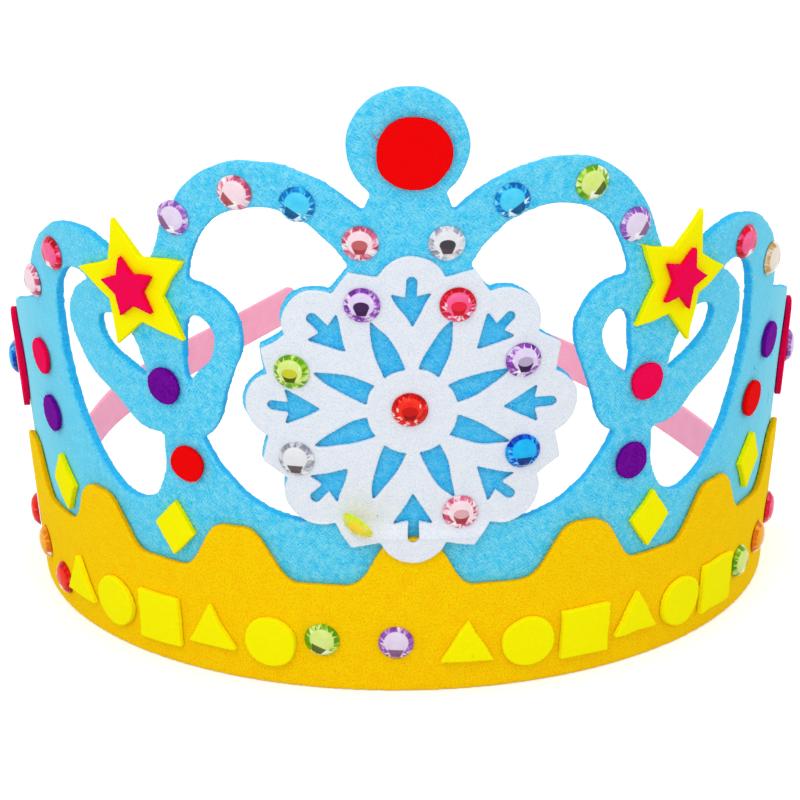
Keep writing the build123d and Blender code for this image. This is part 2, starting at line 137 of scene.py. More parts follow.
# The floor lies a little under the crown's foot, so that the two never meet. It has its own
# grey, and a glow that only the camera and reflections see.
FLOOR_DROP = 0.0002
FLOOR_GREY = 0.78
FLOOR_GLOW = 0.48

SLOTS = {part["node"]: part["material_slot"] for part in frame["record"]["subparts"]}


def from_screen(red, green, blue):
    """Linear colour of a screen colour given in 0 to 255."""
    shares = [value / 255 for value in (red, green, blue)]
    return tuple(
        share / 12.92 if share <= 0.04045 else ((share + 0.055) / 1.055) ** 2.4 for share in shares
    )


def colour_property(name, red, green, blue):
    return FloatVectorProperty(
        name=name,
        description=f"Colour of the {name.lower()}",
        subtype="COLOR",
        size=3,
        min=0,
        max=1,
        default=from_screen(red, green, blue),
    )


def length_property(name, description, default):
    return FloatProperty(name=name, description=description, default=default, min=0, unit="LENGTH")


class CrownFelt(bpy.types.PropertyGroup):
    sheet_grain: length_property("Sheet grain", "Mesh size of the crown sheet", 0.00055)
    band_grain: length_property("Band grain", "Mesh size of the wave band", 0.0004)
    thin_grain: length_property("Thin grain", "Mesh size of the glued felt shapes", 0.00025)
    softness: IntProperty(name="Softness", description="Rounding of the cut edges", default=3)
    wobble: length_property("Wobble", "How far a hand-cut outline strays", 0.0004)
    fuzz: length_property("Fuzz", "Roughness of the cut edges", 0.00004)
    fibre_width: length_property("Fibre width", "Width of a stray fibre", 0.00006)
    fibre_length: length_property("Fibre length", "Length of a long stray fibre", 0.0014)
    blue: colour_property("Blue felt", 76, 211, 247)
    orange: colour_property("Orange felt", 255, 216, 0)
    white: colour_property("White felt", 233, 239, 248)
    yellow: colour_property("Yellow felt", 255, 249, 0)
    crimson: colour_property("Crimson felt", 246, 2, 84)
    red: colour_property("Red felt", 243, 2, 4)
    purple: colour_property("Purple felt", 112, 4, 154)


class CrownStones(bpy.types.PropertyGroup):
    diameter: length_property("Diameter", "Diameter of a stone", 0.008)
    sides: IntProperty(name="Sides", description="Steps round a stone", default=32)
    sky: colour_property("Sky stone", 15, 155, 225)
    pink: colour_property("Pink stone", 238, 130, 160)
    lilac: colour_property("Lilac stone", 180, 120, 212)
    violet: colour_property("Violet stone", 165, 90, 200)
    lime: colour_property("Lime stone", 140, 200, 25)
    crimson: colour_property("Crimson stone", 238, 15, 60)
    cream: colour_property("Cream stone", 228, 190, 130)
    clear: colour_property("Clear stone", 196, 198, 210)
    red: colour_property("Red stone", 236, 14, 6)
    blue: colour_property("Blue stone", 0, 96, 222)
    amber: colour_property("Amber stone", 240, 150, 10)


class CrownStraps(bpy.types.PropertyGroup):
    grain: length_property("Grain", "Mesh size of the straps", 0.0004)
    pink: colour_property("Strap", 255, 166, 192)


class CrownStage(bpy.types.PropertyGroup):
    floor_size: length_property("Floor size", "Side of the floor", 6.0)
    sky_light: FloatProperty(name="Sky light", description="Even light from all round", default=0.94)
    key_light: FloatProperty(
        name="Key light", description="Soft light from the upper left", default=1.45, unit="POWER"
    )


def paler(colour, share):
    """Colour mixed with white."""
    return tuple(value + (1 - value) * share for value in colour)


def deeper(colour, power):
    """Colour raised to a power: deeper above 1 and paler below it."""
    return tuple(value**power for value in colour)


class Nodes:
    """Adds nodes to one tree, each with its settings and what feeds its sockets. A socket
    is named by its label with _ for a space, or by i and its index."""

    def __init__(self, tree):
        self.tree = tree

    def add(self, kind, settings=(), **sockets):
        node = self.tree.nodes.new(kind)
        for name, value in dict(settings).items():
            setattr(node, name, value)
        for name, value in sockets.items():
            self.feed(node, name, value)
        return node

    def feed(self, node, name, value):
        key = int(name[1:]) if name[0] == "i" and name[1:].isdigit() else name.replace("_", " ")
        socket = node.inputs[key]
        if isinstance(value, bpy.types.NodeSocket):
            self.tree.links.new(value, socket)
        elif isinstance(value, tuple) and socket.type == "RGBA" and len(value) == 3:
            socket.default_value = (*value, 1)
        else:
            socket.default_value = value

    def math(self, operation, first, second=0.0):
        node = self.add("ShaderNodeMath", {"operation": operation}, i0=first, i1=second)
        return node.outputs[0]

    def product(self, first, *others):
        for other in others:
            first = self.math("MULTIPLY", first, other)
        return first

    def vector(self, operation, first, second=(0, 0, 0)):
        node = self.add("ShaderNodeVectorMath", {"operation": operation}, i0=first, i1=second)
        return node.outputs[1 if operation == "LENGTH" else 0]

    def oval(self, place, middle, half_size, softness):
        """Mask that is 1 inside an oval round a middle."""
        off = self.vector("SUBTRACT", place, (*middle, 0))
        reach = self.vector("LENGTH", self.vector("DIVIDE", off, (*half_size, 1)))
        return self.spread(reach, 1 + softness, 1 - softness)

    def noise(self, place, scale, detail=2.0, roughness=0.5):
        node = self.add(
            "ShaderNodeTexNoise", Vector=place, Scale=scale, Detail=detail, Roughness=roughness
        )
        return node.outputs

    def spread(self, value, low, high, floor=0.0, top=1.0):
        """Value that goes from floor to top while another goes from low to high."""
        node = self.add(
            "ShaderNodeMapRange", Value=value, From_Min=low, From_Max=high, To_Min=floor, To_Max=top
        )
        return node.outputs[0]

    def mix(self, share, first, second, blend="MIX"):
        node = self.add("ShaderNodeMix", {"data_type": "RGBA", "blend_type": blend})
        for socket, value in zip((node.inputs[0], node.inputs[6], node.inputs[7]), (share, first, second)):
            if isinstance(value, bpy.types.NodeSocket):
                self.tree.links.new(value, socket)
            elif isinstance(value, tuple):
                socket.default_value = (*value[:3], 1)
            else:
                socket.default_value = value
        return node.outputs[2]


def new_group(name, inputs, outputs):
    """Empty shader group with its sockets, its Nodes helper, and its two end nodes."""
    tree = bpy.data.node_groups.new(name, "ShaderNodeTree")
    for label, kind, default in inputs:
        socket = tree.interface.new_socket(label, in_out="INPUT", socket_type=kind)
        if default is not None:
            socket.default_value = default
    for label, kind in outputs:
        tree.interface.new_socket(label, in_out="OUTPUT", socket_type=kind)
    nodes = Nodes(tree)
    return nodes, nodes.add("NodeGroupInput"), nodes.add("NodeGroupOutput")


class FeltLook(NamedTuple):
    """Power that pales the fibres, how much they show, how deep the specks and the cut
    walls are, and the sheen. The cut walls' depth is partly their own dye and partly painted
    shade; below 0 it makes them paler, which is painted light."""

    pale: float
    fibres: float
    depth: float
    wall_depth: float
    sheen: float


FELT_LOOKS = {
    "blue": FeltLook(0.42, 0.75, 0.5, 0.9, 0.05),
    "orange": FeltLook(0.7, 0.4, 0.7, 1.6, 0.0),
    "white": FeltLook(0.3, 0.6, 0.55, -0.4, 0.03),
    "yellow": FeltLook(0.7, 0.3, 0.3, 0.3, 0.0),
    "crimson": FeltLook(0.75, 0.35, 0.2, 0.3, 0.0),
    "red": FeltLook(0.85, 0.3, 0.15, 0.2, 0.0),
    "purple": FeltLook(0.7, 0.5, 0.3, 0.1, 0.0),
}

# Directions of the matted fibres, in degrees, how far they swirl, and how far apart the
# patches of two directions lie
FIBRE_TURNS = (22, 54, 128)
SWIRL_REACH = 0.0008
PATCH_STEP = (0.31, 0.17)

# Waves to the metre of the felt's noises
SWIRL_SCALE = 260
PATCH_SCALE = 420
CLOUD_SCALE = 300
GRAIN_SCALE = 2300
WALL_SCALE = 1600

# Painted shade where the snowflake covers the felt: how strongly it darkens and how deep; and how
# strongly a cut wall's colour shows, which is partly painted shade
COVER_SHADE = 0.42
COVER_SHADE_DEPTH = 1.4
WALL_SHADE = 0.8


def felt_fibre_group():
    """Short matted fibres in three main directions, on the flat layout of the felt."""
    if "felt_fibres" in bpy.data.node_groups:
        return bpy.data.node_groups["felt_fibres"]
    nodes, source, result = new_group(
        "felt_fibres",
        [
            ("Place", "NodeSocketVector", None),
            ("Fibre length", "NodeSocketFloat", 0.0018),
            ("Fibre width", "NodeSocketFloat", 0.00026),
        ],
        [
            ("Fibres", "NodeSocketFloat"),
            ("Clouds", "NodeSocketFloat"),
            ("Specks", "NodeSocketFloat"),
            ("Height", "NodeSocketFloat"),
        ],
    )
    place = source.outputs["Place"]
    swirl = nodes.noise(place, SWIRL_SCALE, 2)["Color"]
    swirl = nodes.vector("SUBTRACT", swirl, (0.5, 0.5, 0.5))
    swirl = nodes.vector("MULTIPLY", swirl, (SWIRL_REACH, SWIRL_REACH, 0))
    swirled = nodes.vector("ADD", place, swirl)
    size = nodes.add(
        "ShaderNodeCombineXYZ",
        X=source.outputs["Fibre length"],
        Y=source.outputs["Fibre width"],
        Z=1.0,
    ).outputs[0]
    fibres = None
    for index, turn in enumerate(FIBRE_TURNS):
        turned = nodes.add(
            "ShaderNodeVectorRotate", {"rotation_type": "Z_AXIS"}, Vector=swirled, Angle=math.radians(turn)
        ).outputs[0]
        threads = nodes.noise(nodes.vector("DIVIDE", turned, size), 1.0, 1.0)["Fac"]
        threads = nodes.spread(threads, 0.45, 0.7)
        shifted = nodes.vector("ADD", place, (*[step * index for step in PATCH_STEP], 0))
        patch = nodes.spread(nodes.noise(shifted, PATCH_SCALE, 1.0)["Fac"], 0.4, 0.56)
        layer = nodes.math("MULTIPLY", threads, patch)
        fibres = layer if fibres is None else nodes.math("MAXIMUM", fibres, layer)
    fine = nodes.noise(place, GRAIN_SCALE, 2)["Fac"]
    height = nodes.math("ADD", nodes.math("MULTIPLY", fibres, 0.5), nodes.math("MULTIPLY", fine, 0.5))
    clouds = nodes.noise(place, CLOUD_SCALE, 4, 0.6)["Fac"]
    nodes.feed(result, "Fibres", fibres)
    nodes.feed(result, "Clouds", nodes.spread(clouds, 0.36, 0.6))
    nodes.feed(result, "Specks", nodes.spread(fine, 0.52, 0.34))
    nodes.feed(result, "Height", height)
    return nodes.tree


def new_material(name):
    """Empty material with its Nodes helper and a Principled shader joined to its output."""
    material = bpy.data.materials.new(name)
    material.use_nodes = True
    material.node_tree.nodes.clear()
    nodes = Nodes(material.node_tree)
    shader = nodes.add("ShaderNodeBsdfPrincipled")
    output = nodes.add("ShaderNodeOutputMaterial")
    nodes.tree.links.new(shader.outputs[0], output.inputs["Surface"])
    return material, nodes, shader


def felt_material(dye):
    """Matted felt: pale fibres and dark specks in the dyed body, a painted sheen where it turns
    edge-on, plainer cut walls whose deeper colour is partly their own dye and partly painted
    shade, and painted shade where the snowflake covers it."""
    colour = tuple(getattr(bpy.context.scene.crown_felt, dye))
    look = FELT_LOOKS[dye]
    material, nodes, shader = new_material(f"{dye}_felt")
    flat = nodes.add("ShaderNodeUVMap", {"uv_map": FLAT_MAP}).outputs[0]
    felt = nodes.add("ShaderNodeGroup", {"node_tree": felt_fibre_group()}, Place=flat)
    cut = nodes.add("ShaderNodeAttribute", {"attribute_name": CUT_MASK}).outputs["Fac"]
    body = nodes.mix(felt.outputs["Clouds"], deeper(colour, 1 + look.depth * 0.4), colour)
    body = nodes.mix(felt.outputs["Specks"], body, deeper(colour, 1 + look.depth * 2))
    fibres_and_sheen = nodes.math("MULTIPLY", felt.outputs["Fibres"], look.fibres)
    # Painted sheen: the pale fibre colour also spreads where the surface turns edge-on to the camera
    grazing_sheen = nodes.add("ShaderNodeLayerWeight", Blend=0.5).outputs["Facing"]
    fibres_and_sheen = nodes.math("MAXIMUM", fibres_and_sheen, nodes.spread(grazing_sheen, 0.3, 0.9, 0.0, look.fibres))
    body = nodes.mix(fibres_and_sheen, body, deeper(colour, look.pale))
    # Painted shade: felt under the snowflake is multiplied towards a deeper colour
    snowflake_shade_mask = nodes.add("ShaderNodeAttribute", {"attribute_name": PAINTED_COVER_SHADE}).outputs["Fac"]
    shaded = nodes.math("MULTIPLY", snowflake_shade_mask, COVER_SHADE)
    body = nodes.mix(shaded, body, deeper(colour, COVER_SHADE_DEPTH), "MULTIPLY")
    # Cut walls: deeper than the face, partly the cut edge's own dye and partly painted shade; with a wall
    # depth below 0, as on white felt, they turn paler, which is painted light
    place = nodes.add("ShaderNodeTexCoord").outputs["Object"]
    wall_grain = nodes.noise(place, WALL_SCALE, 2)["Fac"]
    dark_wall = deeper(colour, 1.2 + look.wall_depth)
    wall = deeper(colour, 1 + look.wall_depth * 0.5)
    wall = nodes.mix(nodes.spread(wall_grain, 0.35, 0.65), dark_wall, wall)
    body = nodes.mix(nodes.math("MULTIPLY", cut, WALL_SHADE), body, wall)
    nodes.feed(shader, "Base Color", body)
    bump = nodes.add(
        "ShaderNodeBump", Strength=0.4, Distance=0.0002, Height=felt.outputs["Height"]
    )
    nodes.feed(shader, "Normal", bump.outputs[0])
    shader.inputs["Roughness"].default_value = 0.95
    shader.inputs["Specular IOR Level"].default_value = 0.06
    shader.inputs["Sheen Weight"].default_value = look.sheen
    shader.inputs["Sheen Roughness"].default_value = 0.45
    shader.inputs["Sheen Tint"].default_value = (*paler(colour, 0.6), 1)
    return material


def settled(obj):
    """Mesh of an object with its modifiers applied. The object is removed."""
    depsgraph = bpy.context.evaluated_depsgraph_get()
    mesh = bpy.data.meshes.new_from_object(obj.evaluated_get(depsgraph))
    old = obj.data
    bpy.data.objects.remove(obj)
    if isinstance(old, bpy.types.Curve):
        bpy.data.curves.remove(old)
    else:
        bpy.data.meshes.remove(old)
    return mesh


def show(name, mesh, material, node):
    """Object of a mesh that stands for a CAD node."""
    mesh.materials.clear()
    mesh.materials.append(material)
    piece = bpy.data.objects.new(name, mesh)
    bpy.context.scene.collection.objects.link(piece)
    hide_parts(node)
    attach(piece, "root")
    return piece


def softened(node, grain, rounds, kept):
    """Finely meshed copy of a CAD node with its cut edges rounded, thinned to the share
    of its faces that is kept."""
    mesh = frame["nodes"][node].data.copy()
    shell = bmesh.new()
    shell.from_mesh(mesh)
    bmesh.ops.remove_doubles(shell, verts=shell.verts, dist=FELT_MERGE)
    shell.to_mesh(mesh)
    shell.free()
    rough = bpy.data.objects.new(f"{node}_rough", mesh)
    bpy.context.scene.collection.objects.link(rough)
    remesh = rough.modifiers.new("Grain", "REMESH")
    remesh.mode = "VOXEL"
    remesh.voxel_size = grain
    rounding = rough.modifiers.new("Rounding", "SMOOTH")
    rounding.factor = 0.5
    rounding.iterations = rounds
    thinning = rough.modifiers.new("Thinning", "DECIMATE")
    thinning.ratio = kept
    bpy.context.view_layer.update()
    fine = settled(rough)
    if not fine.vertices:
        raise RuntimeError(f"{node} has no surface to soften")
    fine.shade_smooth()
    return fine


def vertex_values(mesh, name):
    values = np.empty(len(mesh.vertices) * 3, dtype=np.float32)
    mesh.vertices.foreach_get(name, values)
    return values.reshape(-1, 3)


def map_flat(mesh):
    """Lays the surface out flat in the UV map, in metres, and marks its cut walls and the
    painted shade where the snowflake covers it."""
    places = vertex_values(mesh, "co")
    normals = vertex_values(mesh, "normal")
    turn = np.arctan2(places[:, 0], -places[:, 1])
    outward = np.stack(
        [
            np.sin(turn) * math.cos(FLARE),
            -np.cos(turn) * math.cos(FLARE),
            np.full(len(turn), -math.sin(FLARE)),
        ],
        axis=1,
    )
    facing = (normals * outward).sum(axis=1)
    cut = np.clip((WALL_START - np.abs(facing)) / WALL_FADE, 0, 1)
    # Painted shade: felt that faces out within the snowflake's cut-outs is marked to be darkened
    away = np.hypot(turn * UNROLL_RADIUS, places[:, 2] - SNOWFLAKE_HEIGHT) / SNOWFLAKE_CUTS
    covered = np.clip((COVER_SHADE_END - away) / COVER_SHADE_FADE, 0, 1) * (facing > FACES_OUT)
    covered = covered.astype(np.float32)
    low, high = PALE_WALLS
    cut *= np.clip((high - places[:, 2]) / (high - low), PALE_WALL_SHARE, 1)
    cut = cut.astype(np.float32)
    mesh.attributes.new(CUT_MASK, "FLOAT", "POINT").data.foreach_set("value", cut)
    mesh.attributes.new(PAINTED_COVER_SHADE, "FLOAT", "POINT").data.foreach_set("value", covered)
    corners = np.empty(len(mesh.loops), dtype=np.int32)
    mesh.loops.foreach_get("vertex_index", corners)
    flat = np.stack([turn * UNROLL_RADIUS, places[:, 2]], axis=1)[corners].astype(np.float32)
    layer = mesh.uv_layers.new(name=FLAT_MAP)
    layer.data.foreach_set("uv", flat.ravel())
    return cut


def hand_cut(mesh, felt, seed):
    """Lets the outline stray smoothly along the sheet, as scissors do. The noise has a
    fixed seed, because without one it follows the clock."""
    noise.seed_set(WOBBLE_SEED)
    drift = Vector(WOBBLE_STEP) * seed
    for vertex in mesh.vertices:
        place = vertex.co.copy()
        stray = noise.noise_vector(place * WOBBLE_SCALE + drift) * felt.wobble
        outward = Vector((place.x, place.y, 0)).normalized()
        stray -= outward * stray.dot(outward)
        vertex.co = place + stray * min(1, max(0, place.z / CALM_HEIGHT))
    mesh.update()


def fuzz_edges(mesh, cut, felt, seed):
    """Roughens the cut walls of a felt piece."""
    places = vertex_values(mesh, "co")
    rough = np.random.default_rng(seed).normal(0, felt.fuzz, len(places)) * cut
    places += vertex_values(mesh, "normal") * rough[:, None]
    places[:, 2] = np.maximum(places[:, 2], 0)
    mesh.vertices.foreach_set("co", places.astype(np.float32).ravel())
    mesh.update()


def ease_step(mesh, low, high, rise):
    """Lets a sheet that steps down off an edge come to rest over a longer way."""
    for vertex in mesh.vertices:
        place = vertex.co
        if low < place.z < high:
            share = (place.z - low) / (high - low)
            eased = 1 - share * share * (3 - 2 * share)
            built = max(0, 1 - (place.z - low) / rise)
            outward = Vector((place.x, place.y, 0)).normalized()
            vertex.co = place + outward * rise * (eased - built)
    mesh.update()


# Tufts of long fibres at an edge: which way they lie, to the right and up, and their lengths
TUFTS = {
    "knob_disc": ((-0.92, 0.36), (0.0026, 0.0022, 0.0017)),
    "star_right": ((-0.95, 0.2), (0.0018, 0.0014)),
}

# A stray fibre: where the cut mask lets it grow, its straight parts, how deep its root is,
# how high above the floor it stays, how much it thins, its least length as a share that is
# squared, and how far it strays from the wall's own direction and bends
RIM_SHARE = 0.15
FIBRE_PARTS = 3
FIBRE_ROOT = 0.0001
FIBRE_CLEARANCE = 0.00005
FIBRE_TAPER = 0.75
FIBRE_LEAST = 0.25
FIBRE_STRAY = 0.9
FIBRE_BEND = 0.7

# A fibre of a tuft: how much thicker it is, how far it leans to the front, strays, bends,
# and bends up
TUFT_THICKNESS = 2.2
TUFT_LEAN = 0.15
TUFT_STRAY = 0.25
TUFT_BEND = 0.3
TUFT_RISE = 0.2


def stray_fibres(mesh, cut, count, felt, seed, tuft=None):
    """Loose bent fibres that stand off the cut edges of a felt piece."""
    chance = random.Random(seed)
    rims = [index for index, share in enumerate(cut) if share > RIM_SHARE]
    strands = bpy.data.curves.new("strands", "CURVE")
    strands.dimensions = "3D"
    strands.bevel_depth = felt.fibre_width / 2
    strands.bevel_resolution = 0

    def wander():
        return Vector([chance.uniform(-1, 1) for _ in range(3)])

    lengths = [felt.fibre_length * chance.uniform(FIBRE_LEAST, 1) ** 2 for _ in range(count)]
    if tuft:
        (across, up), long_ones = tuft
        lengths += long_ones
        tuft_root = max(rims, key=lambda rim: mesh.vertices[rim].co.dot(Vector((across, 0, up))))
    for index, length in enumerate(lengths):
        if index < count:
            root = mesh.vertices[rims[chance.randrange(len(rims))]]
            start = (root.normal + wander() * FIBRE_STRAY).normalized()
            bend = wander() * FIBRE_BEND
        else:
            root = mesh.vertices[tuft_root]
            start = (Vector((across, -TUFT_LEAN, up)) + wander() * TUFT_STRAY).normalized()
            bend = wander() * TUFT_BEND + Vector((0, 0, TUFT_RISE))
        strand = strands.splines.new("POLY")
        strand.points.add(FIBRE_PARTS)
        for step, point in enumerate(strand.points):
            share = step / FIBRE_PARTS
            place = root.co - root.normal * FIBRE_ROOT + (start + bend * share) * length * share
            point.co = (place.x, place.y, max(place.z, FIBRE_CLEARANCE), 1)
            point.radius = (1 if index < count else TUFT_THICKNESS) * (1 - FIBRE_TAPER * share)
    holder = bpy.data.objects.new("strands", strands)
    bpy.context.scene.collection.objects.link(holder)
    bpy.context.view_layer.update()
    return settled(holder)


def felt_piece(node, grain, detail, material, seed):
    """Soft felt piece that stands for a CAD node."""
    felt = bpy.context.scene.crown_felt
    kept, fibres = detail
    mesh = softened(node, grain, felt.softness, kept)
    if node == "snowflake":
        ease_step(mesh, *SNOWFLAKE_STEP)
    hand_cut(mesh, felt, seed)
    cut = map_flat(mesh)
    fuzz_edges(mesh, cut, felt, seed)
    strands = stray_fibres(mesh, cut, fibres, felt, seed, TUFTS.get(node))
    both = bmesh.new()
    both.from_mesh(mesh)
    both.from_mesh(strands)
    both.to_mesh(mesh)
    both.free()
    bpy.data.meshes.remove(strands)
    # The masks and the map are made anew, so that the fibres have them too
    mesh.attributes.remove(mesh.attributes[CUT_MASK])
    mesh.attributes.remove(mesh.attributes[PAINTED_COVER_SHADE])
    mesh.uv_layers.remove(mesh.uv_layers[FLAT_MAP])
    mesh.shade_smooth()
    map_flat(mesh)
    # Only the crown sheet keeps the mask of painted shade under the snowflake
    if node != "crown_sheet":
        mesh.attributes.remove(mesh.attributes[PAINTED_COVER_SHADE])
    show(f"felt_{node}", mesh, material, node)


class CROWN_OT_crown_sheet(bpy.types.Operator):
    """Cut and bent sheet of stiff blue felt"""

    bl_idname = "crown.crown_sheet"
    bl_label = "Crown Sheet"

    def execute(self, context):
        grain = context.scene.crown_felt.sheet_grain
        felt_piece("crown_sheet", grain, SHEET_DETAIL, felt_material("blue"), seed=3)
        return {"FINISHED"}


class CROWN_OT_wave_band(bpy.types.Operator):
    """Wavy band of orange felt glued round the foot"""

    bl_idname = "crown.wave_band"
    bl_label = "Wave Band"

    def execute(self, context):
        grain = context.scene.crown_felt.band_grain
        felt_piece("wave_band", grain, BAND_DETAIL, felt_material("orange"), seed=5)
        return {"FINISHED"}


class CROWN_OT_snowflake(bpy.types.Operator):
    """Pierced snowflake of thin white felt"""

    bl_idname = "crown.snowflake"
    bl_label = "Snowflake"

    def execute(self, context):
        grain = context.scene.crown_felt.thin_grain
        felt_piece("snowflake", grain, SNOWFLAKE_DETAIL, felt_material("white"), seed=7)
        return {"FINISHED"}


class CROWN_OT_glued_shapes(bpy.types.Operator):
    """Stars, diamonds, discs, dots and the row of shapes on the band"""

    bl_idname = "crown.glued_shapes"
    bl_label = "Glued Shapes"

    def execute(self, context):
        grain = context.scene.crown_felt.thin_grain
        for dye in ("yellow", "crimson", "red", "purple"):
            cloth = felt_material(dye)
            names = [node for node in sorted(SLOTS) if SLOTS[node] == f"{dye}_felt"]
            for seed, node in enumerate(names):
                felt_piece(node, grain, GLUED_DETAIL, cloth, seed)
        return {"FINISHED"}


def viewer_place():
    """Where the camera stands."""
    azimuth = math.radians(CAMERA_TURN)
    elevation = math.radians(CAMERA_RISE)
    return CAMERA_DISTANCE * Vector(
        (
            math.sin(azimuth) * math.cos(elevation),
            -math.cos(azimuth) * math.cos(elevation),
            math.sin(elevation),
        )
    )


def stone_seat(node):
    """Place of a stone: the middle of its back, its axis, and its own upward direction."""
    mesh = frame["nodes"][node].data
    backs = {}
    for face in mesh.polygons:
        key = tuple(round(value, 2) for value in face.normal)
        area, middle, normal = backs.get(key, (0.0, Vector(), face.normal.copy()))
        backs[key] = (area + face.area, middle + face.center * face.area, normal)
    area, middle, normal = max(backs.values(), key=lambda back: back[0])
    axis = -normal.normalized()
    up = (Vector((0, 0, 1)) - axis * axis.z).normalized()
    across = up.cross(axis)
    turn = Matrix((across, up, axis)).transposed().to_4x4()
    return Matrix.Translation(middle / area) @ turn


# Outline of a stone as steps out from its axis and up from its back, in its own radius
STONE_OUTLINE = ((0, 0), (1, 0), (1, 0.06), (0.88, 0.2), (0.66, 0.37), (0.38, 0.45), (0, 0.47))


def face_rank(face, rim):
    """Number that sorts a stone's faces by height, in thousandths of its radius, and then
    by turn."""
    middle = face.calc_center_median()
    return round(1000 * middle.z / rim) * 10 + math.atan2(middle.y, middle.x)


def faceted_stone(name, seat, core, turns, window, stones, seed):
    """Low flat-back stone. One UV map of its face stands upright and one is turned towards the
    camera, so that the painted reflection of its window lies on the viewer's side, as a
    foil-backed stone shows it. The window is the zoom and the rise of that second map."""
    rim = stones.diameter / 2
    gem = bmesh.new()
    points = [gem.verts.new((rim * out, 0, rim * high)) for out, high in STONE_OUTLINE]
    edges = [gem.edges.new(pair) for pair in zip(points, points[1:])]
    bmesh.ops.spin(
        gem,
        geom=points + edges,
        cent=(0, 0, 0),
        axis=(0, 0, 1),
        angle=math.tau,
        steps=stones.sides,
        use_merge=True,
    )
    bmesh.ops.remove_doubles(gem, verts=gem.verts, dist=rim * STONE_MERGE)
    bmesh.ops.recalc_face_normals(gem, faces=gem.faces)
    # The spin lists its faces in another order each run
    gem.faces.sort(key=lambda face: face_rank(face, rim))
    # Painted reflections are turned towards where the camera stands
    seen_from = seat.inverted() @ viewer_place()
    gaze = math.atan2(seen_from.x, seen_from.y) if turns else 0
    upright = gem.loops.layers.uv.new(UPRIGHT_MAP)
    turned = gem.loops.layers.uv.new(TURNED_MAP)
    cores = gem.faces.layers.float.new(CORE)
    marks = gem.faces.layers.float.new(MARK)
    zoom, rise = window
    for face in gem.faces:
        face[cores] = core
        face[marks] = seed
        for loop in face.loops:
            x, y = loop.vert.co.x / rim, loop.vert.co.y / rim
            loop[upright].uv = (x, y)
            loop[turned].uv = (
                zoom * (x * math.cos(gaze) - y * math.sin(gaze)),
                zoom * (x * math.sin(gaze) + y * math.cos(gaze)) + rise,
            )
    gem.transform(seat)
    mesh = bpy.data.meshes.new(name)
    gem.to_mesh(mesh)
    gem.free()
    return mesh


# Middle and half size of the ovals of painted reflection in a stone, the sparks being painted
# highlights, across and up in its own radius
WINDOW_OVAL = ((0, 0.16), (0.69, 0.65))
CORE_OVAL = ((0, 0.08), (0.43, 0.28))
SPARKS = (((-0.68, 0.14), (0.06, 0.11)), ((0.56, 0.36), (0.04, 0.1)))

# The dark fan of painted reflection in a stone: half width at its top, narrowing, top and bottom
FAN_HALF, FAN_TAPER, FAN_TOP, FAN_BOTTOM = 0.46, 0.4, 0.1, -0.5

# Painted facets round a stone, where they start, how much their painted reflections differ, and
# how far apart two stones' shades lie
FACETS_ROUND = 16
FACET_START = 0.68
FACET_CONTRAST = 0.9
FACET_STEP = 37.0

# Mottle of painted reflection over the facets: its scale, its strength, and how far apart two
# stones' mottles lie
MOTTLE_SCALE = 4.5
MOTTLE_REACH = 0.2
MOTTLE_STEP = 7.3


